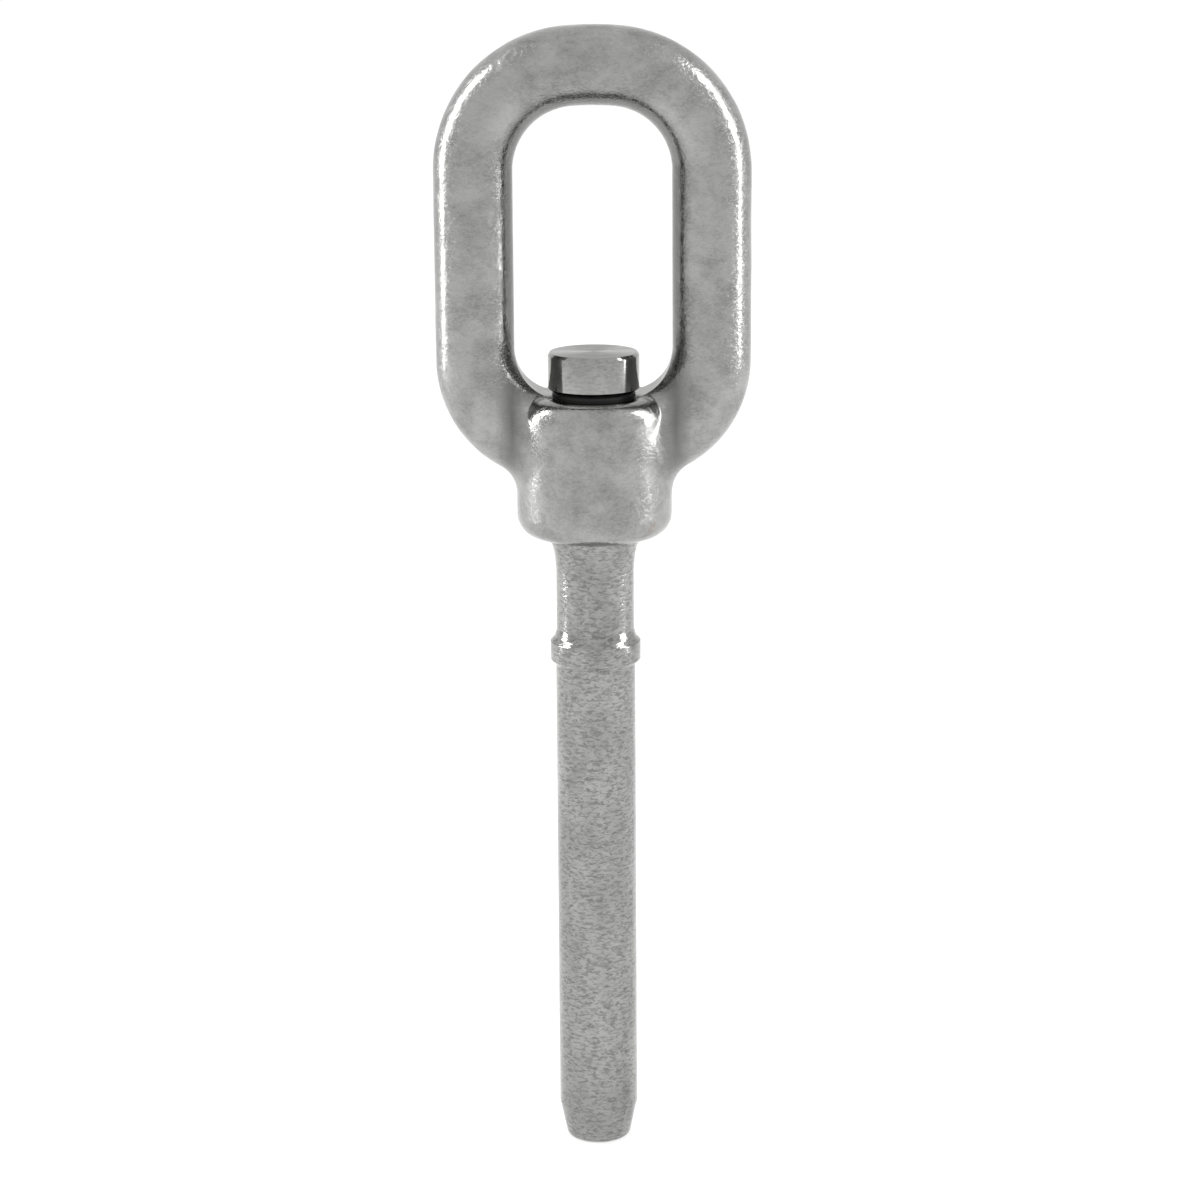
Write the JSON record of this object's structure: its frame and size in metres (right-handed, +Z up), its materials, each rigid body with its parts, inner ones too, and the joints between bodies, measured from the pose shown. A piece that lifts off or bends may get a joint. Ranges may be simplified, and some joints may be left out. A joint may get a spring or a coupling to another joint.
{
  "type": "swivel eye with plain shank",
  "caption": "Polished forged oval eye that swivels on a turned shank, held by a button head over a ball thrust race, with a stop collar and tapered nose",
  "frame": {"origin": "on the shank's axis, at the underside of the stop collar, where the plain rod begins", "axes": "+Z up the shank towards the eye, Y through the eye's opening, X across the eye's two legs; the camera is on the -Y side"},
  "size_m": [0.0466, 0.0232, 0.1709],
  "materials": {
    "eye_forging": "polished stainless forging with fine pits and grain",
    "turned_steel": "bright turned stainless with fine circumferential tool marks",
    "pin_steel": "ground dowel",
    "race_steel": "ground bearing race",
    "cage_brass": "machined",
    "seal_rubber": "moulded black rubber",
    "bush_bronze": "machined bearing bronze",
    "washer_polymer": "dark bearing polymer",
    "ball_steel": "hardened ball, polished"
  },
  "bodies": {
    "shank": {"shank": "turned_steel", "head_cap": "turned_steel", "lock_pin": "pin_steel", "upper_race": "race_steel"},
    "eye": {"eye": "eye_forging", "guide_bush": "bush_bronze", "lower_race": "race_steel", "seal_ring": "seal_rubber", "thrust_washer": "washer_polymer"},
    "cage": {"ball_cage": "cage_brass", "ball_01": "ball_steel", "ball_02": "ball_steel", "ball_03": "ball_steel", "ball_04": "ball_steel", "ball_05": "ball_steel", "ball_06": "ball_steel", "ball_07": "ball_steel", "ball_08": "ball_steel", "ball_09": "ball_steel", "ball_10": "ball_steel", "ball_11": "ball_steel", "ball_12": "ball_steel"}
  },
  "joints": [
    {"name": "eye_swivel", "type": "hinge", "parent": "shank", "child": "eye", "pos_m": [0, 0, 0.041], "axis": [0, 0, 1], "continuous": true},
    {"name": "cage_orbit", "type": "hinge", "parent": "shank", "child": "cage", "pos_m": [0, 0, 0.038], "axis": [0, 0, 1], "continuous": true}
  ],
  "couplings": [
    {"joint": "cage_orbit", "follows": "eye_swivel", "ratio": 0.5}
  ]
}
